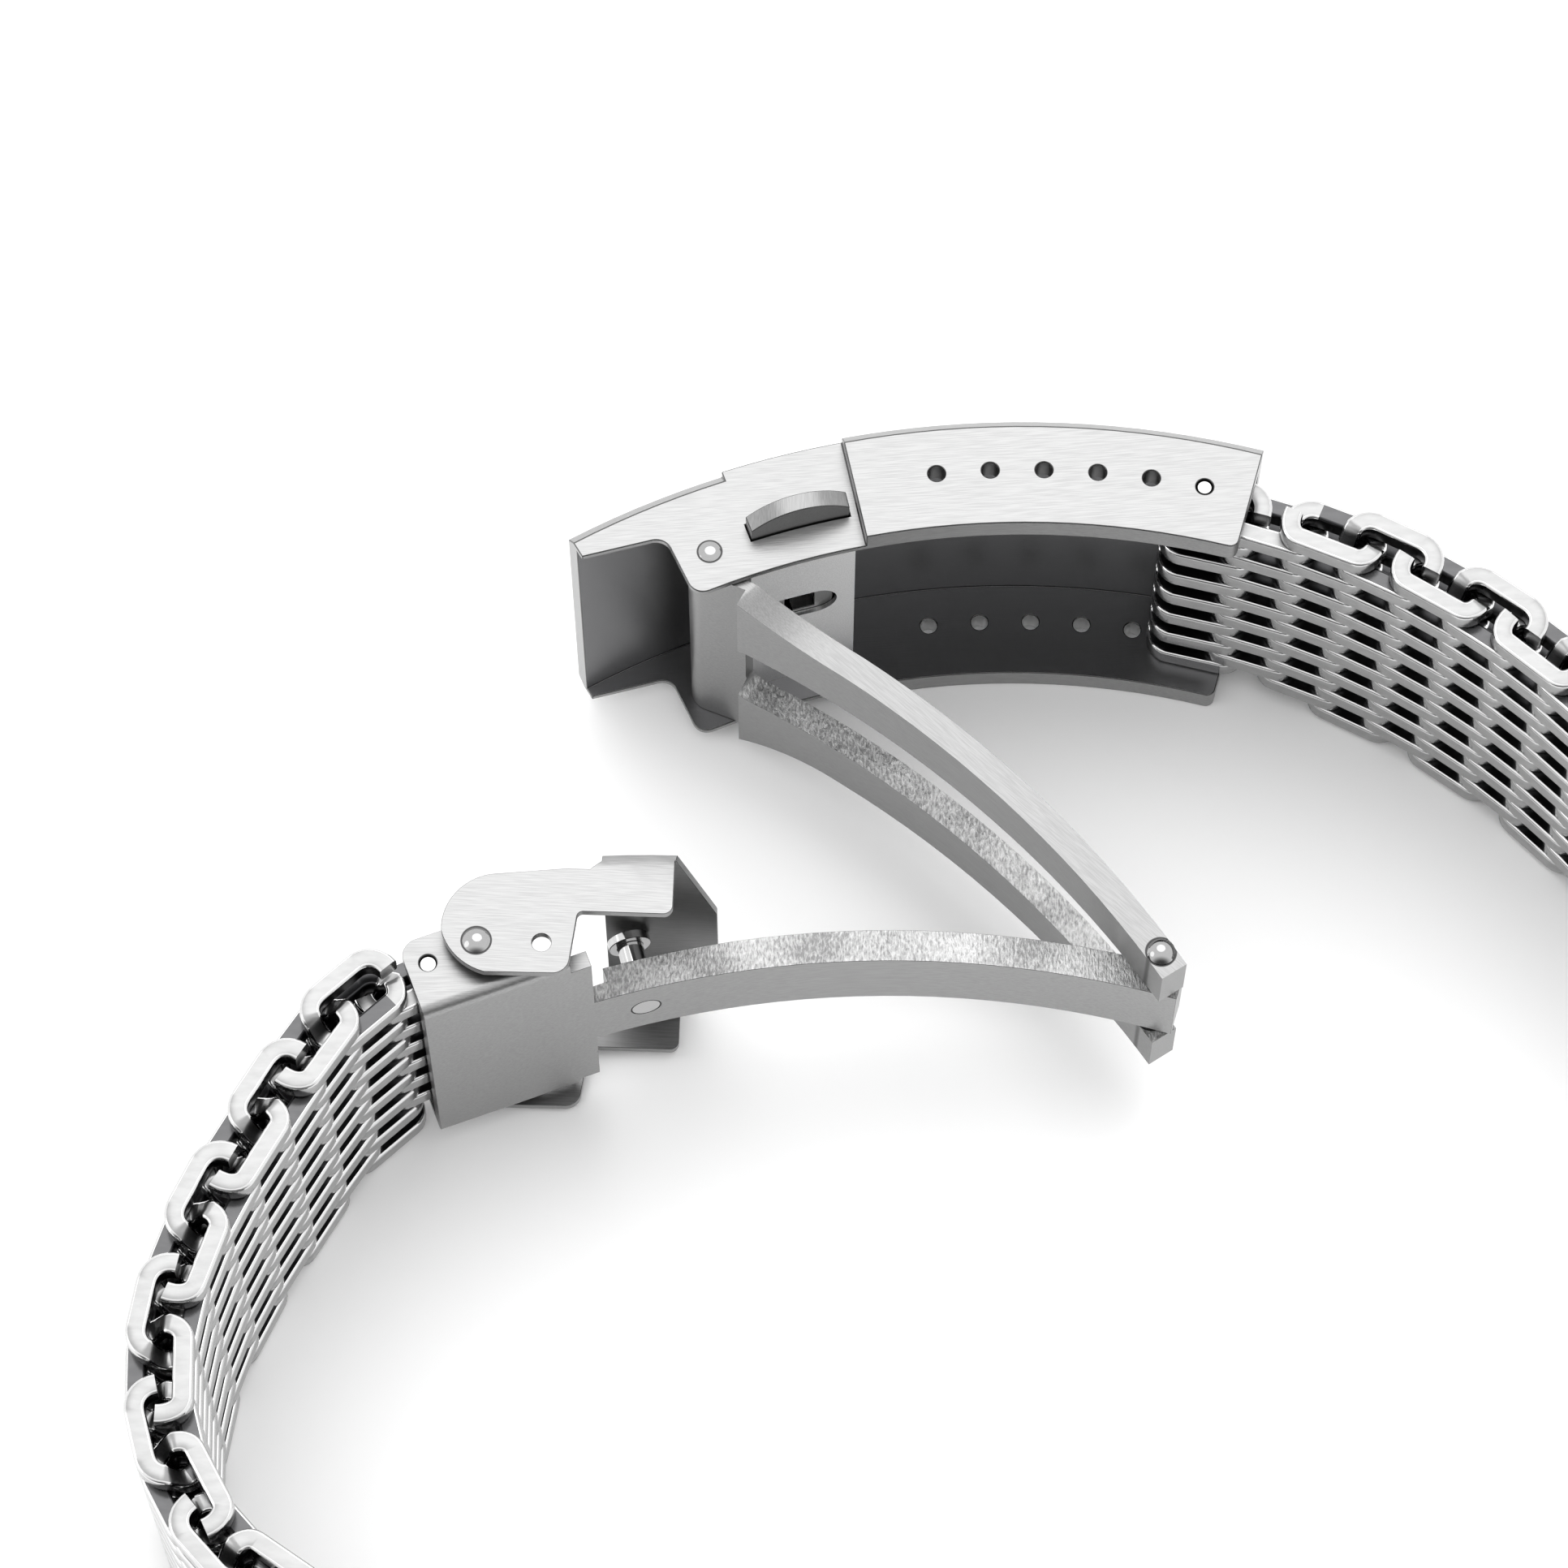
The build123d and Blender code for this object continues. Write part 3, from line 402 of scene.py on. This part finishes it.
# Darker copies of the wire steel: painted shade on the band's sides and the next row's upward
# faces, painted shadow on faces hidden in the mesh
m_wire_side_shaded = metal("wire_side_painted_shade", grey(0.31), 0.3, depth=0.05, **WIRE_LINES)
m_wire_next_shaded = metal("wire_next_row_painted_shade", (0.09, 0.09, 0.092), 0.2, depth=0.1, **WIRE_LINES)
m_wire_shadow = metal("wire_painted_shadow", (0.05, 0.05, 0.052), 0.3, depth=0.1, **WIRE_LINES)
m_wire_edge = metal("wire_polished", grey(0.6), 0.1, **POLISHED)
m_pin = metal("pin_polished", grey(0.5), 0.1, **POLISHED)
# The pins' domed heads get a darker copy of the polished pin steel as a painted dark reflection
m_rivet_dark_reflection = metal("rivet_polished_painted_reflection", grey(0.36), 0.1, **POLISHED)
# Hole walls: painted shade in the holes above the middle, painted light from the floor below it
m_hole_shade = metal("hole_wall_painted_shade", grey(0.17), HOLE_ROUGH, **POLISHED)
m_hole_lit = metal("hole_wall_painted_light", grey(0.9), HOLE_ROUGH, **POLISHED)
# The bevels' faces get this dark grey as a painted dark reflection of the dim horizon
m_edge_reflection = metal("edge_painted_reflection", grey(0.1), 0.22, **POLISHED)
# The flap's faces that look towards its core get this darker copy of the flap steel as painted
# shade
m_flap_shaded = metal("flap_painted_shade", grey(0.2), 0.4, angle=-3.0)
m_spring = metal("spring_wire", grey(0.4), 0.3, **POLISHED)

# Places of the further steels in a finished piece's list, after its own
HOLE_SHADE_SLOT, EDGE_REFLECTION_SLOT, SHADED_INNER_SLOT, HOLE_LIGHT_SLOT = 1, 2, 3, 4
EXTRA_STEELS = (m_hole_shade, m_edge_reflection, m_flap_shaded, m_hole_lit)
CREASE = math.radians(30.0)
FLAT_ENOUGH = math.radians(0.4)
MERGE_DISTANCE = 0.000001
HOLE_REACH = 0.62
BEVEL_STEPS = 2


def link_object(name, data):
    obj = bpy.data.objects.new(name, data)
    bpy.context.scene.collection.objects.link(obj)
    return obj


def in_hole(face, middle, holes):
    """Whether a face is the wall of an upright hole at one of the places given."""
    upright = abs(face.normal.z) < 0.5
    near = (math.hypot(middle.x - x * MM, middle.y - y * MM) < HOLE_REACH * MM for x, y in holes)
    return upright and any(near)


def looks_inwards(face, middle, core):
    """Whether a face of the flap looks to the core, a point between the flap's two cheeks."""
    x, y, half = core
    to_core = (x * MM - middle.x) * face.normal.x + (y * MM - middle.y) * face.normal.y
    level = middle.z - MID_Z * MM
    cheek = face.normal.z * level < -0.5 * abs(level)
    return cheek or (abs(level) < half * MM and to_core > 0)


def finished(name, node, body, material, edge=0.0, holes=(), core=None):
    """A merged copy of a CAD piece with smooth curves and broken edges.

    The walls of the holes given get painted shade above and painted light below the middle of the
    width. The faces that look towards the core get the flap's steel darkened as painted shade.
    """
    bm = bmesh.new()
    bm.from_mesh(nodes[node].data)
    bmesh.ops.remove_doubles(bm, verts=bm.verts, dist=MERGE_DISTANCE)
    bmesh.ops.dissolve_limit(bm, angle_limit=FLAT_ENOUGH, verts=bm.verts, edges=bm.edges)
    for face in bm.faces:
        face.smooth = True
        middle = face.calc_center_median()
        # Hole walls get painted shade above the middle and painted light below it
        if in_hole(face, middle, holes):
            face.material_index = HOLE_SHADE_SLOT if middle.z > MID_Z * MM else HOLE_LIGHT_SLOT
        # Faces that look to the flap's core get painted shade
        if core and looks_inwards(face, middle, core):
            face.material_index = SHADED_INNER_SLOT
    for e in bm.edges:
        e.smooth = len(e.link_faces) == 2 and e.calc_face_angle(0) < CREASE
    mesh = bpy.data.meshes.new(name)
    bm.to_mesh(mesh)
    bm.free()
    for steel in (material, *EXTRA_STEELS):
        mesh.materials.append(steel)
    obj = link_object(name, mesh)
    if edge:
        bevel = obj.modifiers.new("broken_edges", "BEVEL")
        bevel.width = edge * MM
        bevel.segments = BEVEL_STEPS
        # The bevels get the dark steel, a painted dark reflection
        bevel.material = EDGE_REFLECTION_SLOT
        bevel.limit_method = "ANGLE"
        bevel.angle_limit = CREASE
        bevel.harden_normals = True
        bevel.use_clamp_overlap = True
    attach(obj, body)
    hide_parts(node)


HOLE_RADIUS = COVER_RADIUS - HOLE_DEPTH
HOLE_STEP = math.degrees(HOLE_PITCH / HOLE_RADIUS)
ADJUST_HOLES = []
for index in range(HOLE_COUNT):
    a = math.radians(FIRST_HOLE_ANGLE - index * HOLE_STEP)
    ADJUST_HOLES.append((HOLE_RADIUS * math.sin(a), ARC_CENTRE_Y + HOLE_RADIUS * math.cos(a)))

# A point between the flap's cheeks, and how far from the middle its roof's inner faces reach
FLAP_CORE = (-21.0, -24.5, 8.6)

# The last number is the width of the broken edges
finished("cover_shell", "clasp_cover", "cover", m_cover, 0.13, ADJUST_HOLES)
finished("catch_housing", "catch_block", "cover", m_block_lit, 0.07)
finished("push_button_upper", "button_upper", "upper_button", m_button, 0.05)
finished("push_button_lower", "button_lower", "lower_button", m_button, 0.05)
finished("fork_blade", "inner_blade", "inner_blade_body", m_inner, 0.08)
finished(
    "long_blade", "outer_blade", "outer_blade_body", m_outer, 0.06, (PIN_PLACE,)
)
finished("flap_shell", "safety_flap", "flap", m_flap, 0.19, core=FLAP_CORE)
finished("pivot_pin", "blade_pivot_pin", "cover", m_rivet_dark_reflection, 0.03)
finished("blade_pin", "blade_hinge_pin", "blade_hinge", m_rivet_dark_reflection, 0.03)
finished("mushroom_stud", "catch_stud", "outer_blade_body", m_pin, 0.16)
finished("strap_pin", "end_link_pin", "outer_blade_body", m_pin, 0.05)
finished("flap_rivets", "flap_pivot_rivets", "flap", m_rivet_dark_reflection, 0.03)
finished("clasp_cover_bar_tube", "cover_bar_tube", "cover", m_pin)
finished("clasp_cover_bar_spring", "cover_bar_spring", "cover", m_pin)
for level in ("upper", "lower"):
    tip = f"cover_bar_tip_{level}"
    finished(f"clasp_bar_tip_{level}", tip, f"cover_bar_{level}_tip", m_pin, 0.05)
finished("return_spring", "button_spring", "cover", m_spring)
for side in ("right", "left"):
    last = f"{side}_strap_{COILS:02d}"
    finished(f"{side}_watch_bar", f"lug_bar_{side}_tube", last, m_pin)
    finished(f"{side}_watch_spring", f"lug_bar_{side}_spring", last, m_spring)
    for level in ("upper", "lower"):
        tip = f"lug_bar_{side}_tip_{level}"
        body = f"{side}_lug_tip_{level}"
        finished(f"{side}_watch_tip_{level}", tip, body, m_pin, 0.05)


# ---------------------------------------------------------------- mesh coils
CORNER_STEPS = 3


def wire_section():
    """Points of the flattened wire's section: offset outwards and across the band."""
    flat_depth = WIRE_DEPTH / 2 - WIRE_CORNER
    flat_width = WIRE_WIDTH / 2 - WIRE_CORNER
    points = []
    for sx, sz, start in ((1, 1, 0), (-1, 1, 90), (-1, -1, 180), (1, -1, 270)):
        for step in range(CORNER_STEPS):
            a = math.radians(start + 90 / (CORNER_STEPS - 1) * step)
            out = sx * flat_depth + WIRE_CORNER * math.cos(a)
            across = sz * flat_width + WIRE_CORNER * math.sin(a)
            points.append((out, across))
    return points


SECTION = wire_section()
# The faces round the section, counted from its outer upper corner
FACE_UP, FACE_INNER, FACE_DOWN, FACE_OUTER = 2, 5, 8, 11
UPPER_INNER_CORNER = (3, 4)
LOWER_INNER_CORNER = (6, 7)
# The steels of a coil: outer flat, corners, faces in the mesh (painted shadow), its side (painted
# shade), its next row (painted shade)
COIL_STEELS = (m_wire, m_wire_edge, m_wire_shadow, m_wire_side_shaded, m_wire_next_shaded)
FLAT, CORNER, IN_SHADOW, SIDE_SHADE, NEXT_ROW_SHADE = range(len(COIL_STEELS))

BEND_RADIUS = (MESH_THICKNESS - WIRE_DEPTH) / 2
COIL_TIP = COIL_LENGTH / 2 - WIRE_DEPTH / 2
# Half the height over which the wire steps down to its next row
SHIFT_HALF = 0.5
BEND_STEPS = 18
CUT_STEPS = BEND_STEPS // 2
# A bend is a superellipse of this power, so a little squarer than a circle, whose power is 2
BEND_POWER = 2.15
ROUNDNESS = 2 / BEND_POWER
# How far the cut ends wrap round, in degrees
CUT_WRAP = 94
# How much longer the flats are at the wrist
WRIST_FLAT = 0.4


def signed_power(value, power):
    return math.copysign(abs(value) ** power, value)


def bend_point(end, half, degrees, wrist, slim):
    """A point on the bend at one end of a coil, and the bend's outward direction there.

    End is the end of the coil, 1 or -1 along it, and half is the side where the bend starts, 1
    or -1 across it. The side that lies on the wrist has longer flats and tighter bends.
    """
    c, s = math.cos(math.radians(degrees)), math.sin(math.radians(degrees))
    reach = BEND_RADIUS - (WRIST_FLAT if half * s * wrist > 0 else 0)
    height = BEND_RADIUS * slim
    x = end * (COIL_TIP - reach + reach * signed_power(c, ROUNDNESS))
    y = half * height * signed_power(s, ROUNDNESS)
    nx = signed_power(c, 2 - ROUNDNESS) / reach
    ny = signed_power(s, 2 - ROUNDNESS) / height
    size = math.hypot(nx, ny)
    return x, y, end * nx / size, half * ny / size


def step_down(degrees):
    """How far the wire is on its way to the next row, from 0 to 1, at an angle of the bend."""
    up = BEND_RADIUS * signed_power(math.sin(math.radians(degrees)), ROUNDNESS)
    t = max(0.0, min(1.0, (SHIFT_HALF - up) / (2 * SHIFT_HALF)))
    return t * t * (3 - 2 * t)


def coil_path(first, last, kind, wrist, slim):
    """Points of the wire's centre line with its outward direction and its row."""
    path = []
    for row in range(first, last + 1):
        way = 1 if (row % 2 == 0) == (kind == 1) else -1
        top = MESH_TOP - WIRE_WIDTH / 2 - row * ROW_STEP

        def add(end, degrees, drop=0.0):
            x, y, nx, ny = bend_point(end, -way, degrees, wrist, slim)
            if row <= first + 1 and drop < 1:
                at = first
            else:
                at = row if drop < 0.5 else row + 1
            path.append((x, y, top - ROW_STEP * drop, nx, ny, at))

        if row == first:
            for step in range(CUT_STEPS + 1):
                add(-way, 90 - CUT_WRAP + CUT_WRAP * step / CUT_STEPS)
        if row == last:
            for step in range(CUT_STEPS + 1):
                add(way, 90 - CUT_WRAP * step / CUT_STEPS)
        else:
            for step in range(BEND_STEPS + 1):
                degrees = 90 - 180 * step / BEND_STEPS
                add(way, degrees, step_down(degrees))
    return path


def wire_steel(part, row, first, last):
    """The steel of one face round the wire's section, at the row given; hidden faces get painted
    shadow, and the side and next-row faces painted shade.
    """
    if part == FACE_OUTER:
        return FLAT
    if part == FACE_UP:
        return SIDE_SHADE if row == first else NEXT_ROW_SHADE if row == first + 1 else IN_SHADOW
    if part == FACE_DOWN:
        return SIDE_SHADE if row == last else IN_SHADOW
    if part in UPPER_INNER_CORNER:
        return CORNER if row == first else IN_SHADOW
    if part in LOWER_INNER_CORNER:
        return CORNER if row == last else IN_SHADOW
    return IN_SHADOW if part == FACE_INNER else CORNER


def coil_mesh(name, first, last, kind, centre, angle, wrist, slim):
    bm = bmesh.new()
    rings = []
    rows = []
    for x, y, z, nx, ny, row in coil_path(first, last, kind, wrist, slim):
        rows.append(row)
        ring = []
        for out, across in SECTION:
            px, py = plus(turned(x + nx * out, y + ny * out, angle), centre)
            ring.append(bm.verts.new((px * MM, py * MM, (z + across) * MM)))
        rings.append(ring)
    count = len(SECTION)
    for here, there, row in zip(rings, rings[1:], rows):
        for n in range(count):
            m = (n + 1) % count
            face = bm.faces.new((here[n], here[m], there[m], there[n]))
            face.smooth = True
            face.material_index = wire_steel(n, row, first, last)
    bm.faces.new(list(reversed(rings[0])))
    bm.faces.new(rings[-1])
    bmesh.ops.recalc_face_normals(bm, faces=bm.faces)
    mesh = bpy.data.meshes.new(name)
    bm.to_mesh(mesh)
    bm.free()
    for steel in COIL_STEELS:
        mesh.materials.append(steel)
    obj = link_object(name, mesh)
    normals = obj.modifiers.new("flat_sides", "WEIGHTED_NORMAL")
    normals.keep_sharp = True
    return obj


def strap(side, places, kinds, short, wrist, slim=1.0):
    """One strap: its coils of two kinds in turn, with the rows of its short ones.

    Wrist is the side of the coils that lies on the wrist, and the first coil is slim.
    """
    for n, (centre, angle) in enumerate(places):
        number = f"{n + 1:02d}"
        first, last = short.get(n, (0, COIL_ROWS - 1))
        name = f"{side}_wire_coil_{number}"
        thin = slim if n == 0 else 1.0
        obj = coil_mesh(name, first, last, kinds[n % 2], centre, angle, wrist, thin)
        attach(obj, f"{side}_strap_{number}")
        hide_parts(f"{side}_coil_{number}")


RIGHT_SHORT = {0: (1, 14), 1: (1, 14)}
LEFT_SHORT = {0: (2, 13)}
LEFT_SLIM = 0.86
right_first = plus(BAR_PLACE, turned(BAR_TO_COIL, 0, RIGHT_START))
left_first = plus(PIN_PLACE, turned(PIN_TO_COIL, -LINK_LIFT, LEFT_START))
strap("right", walk(right_first, RIGHT_START, RIGHT_BENDS), (1, 2), RIGHT_SHORT, -1)
strap("left", walk(left_first, LEFT_START, LEFT_BENDS), (2, 1), LEFT_SHORT, 1, LEFT_SLIM)


# ---------------------------------------------------------------- stage, light and camera
FLOOR_SIZE = 2.0
# The part of the way to minus Y over which the sky dims, and its strengths there
SKY_FADE = (0.4, 0.95)
SKY_STRENGTH = (1.42, 0.12)
CAMERA_LENS = 127.66
CAMERA_PLACE = (-0.0134, -0.146, 0.2939)
CAMERA_TILT = math.radians(25)


def floor():
    bm = bmesh.new()
    bmesh.ops.create_grid(bm, x_segments=1, y_segments=1, size=FLOOR_SIZE)
    mesh = bpy.data.meshes.new("floor")
    bm.to_mesh(mesh)
    bm.free()
    obj = link_object("floor", mesh)
    m = bpy.data.materials.new("floor_white")
    m.use_nodes = True
    surface = m.node_tree.nodes["Principled BSDF"].inputs
    surface["Base Color"].default_value = (0.97, 0.97, 0.97, 1)
    surface["Roughness"].default_value = 0.9
    surface["Specular IOR Level"].default_value = 0.1
    mesh.materials.append(m)


def softbox(name, place, size, radiance):
    """A round lamp that looks at the origin and is as bright as its radiance says."""
    data = bpy.data.lights.new(name, "AREA")
    data.shape = "DISK"
    data.size = size
    data.energy = radiance * math.pi * math.pi * size * size / 4
    obj = link_object(name, data)
    obj.location = place
    obj.rotation_euler = (-Vector(place)).to_track_quat("-Z", "Y").to_euler()


def studio_sky():
    """A white sky that dims towards minus Y."""
    world = bpy.data.worlds.new("studio")
    world.use_nodes = True
    tree = world.node_tree
    background = tree.nodes["Background"].inputs
    background["Color"].default_value = (1, 1, 1, 1)
    incoming = tree.nodes.new("ShaderNodeNewGeometry").outputs["Incoming"]
    strength = ranged(tree, parted(tree, incoming)["Y"], SKY_FADE, SKY_STRENGTH, smooth=True)
    feed(tree, background["Strength"], strength)
    bpy.context.scene.world = world


floor()
# Place, diameter and radiance
softbox("softbox_top", (0.02, 0.4, 0.86), 0.95, 1.6)
softbox("softbox_left", (-0.9, -0.1, 0.5), 0.56, 1.15)
studio_sky()

camera_data = bpy.data.cameras.new("camera")
camera_data.lens = CAMERA_LENS
camera_data.sensor_width = 36.0
camera_data.clip_start = 0.01
camera = link_object("camera", camera_data)
camera.location = CAMERA_PLACE
camera.rotation_euler = (CAMERA_TILT, 0, 0)
bpy.context.scene.camera = camera
bpy.context.scene.view_settings.view_transform = "Standard"
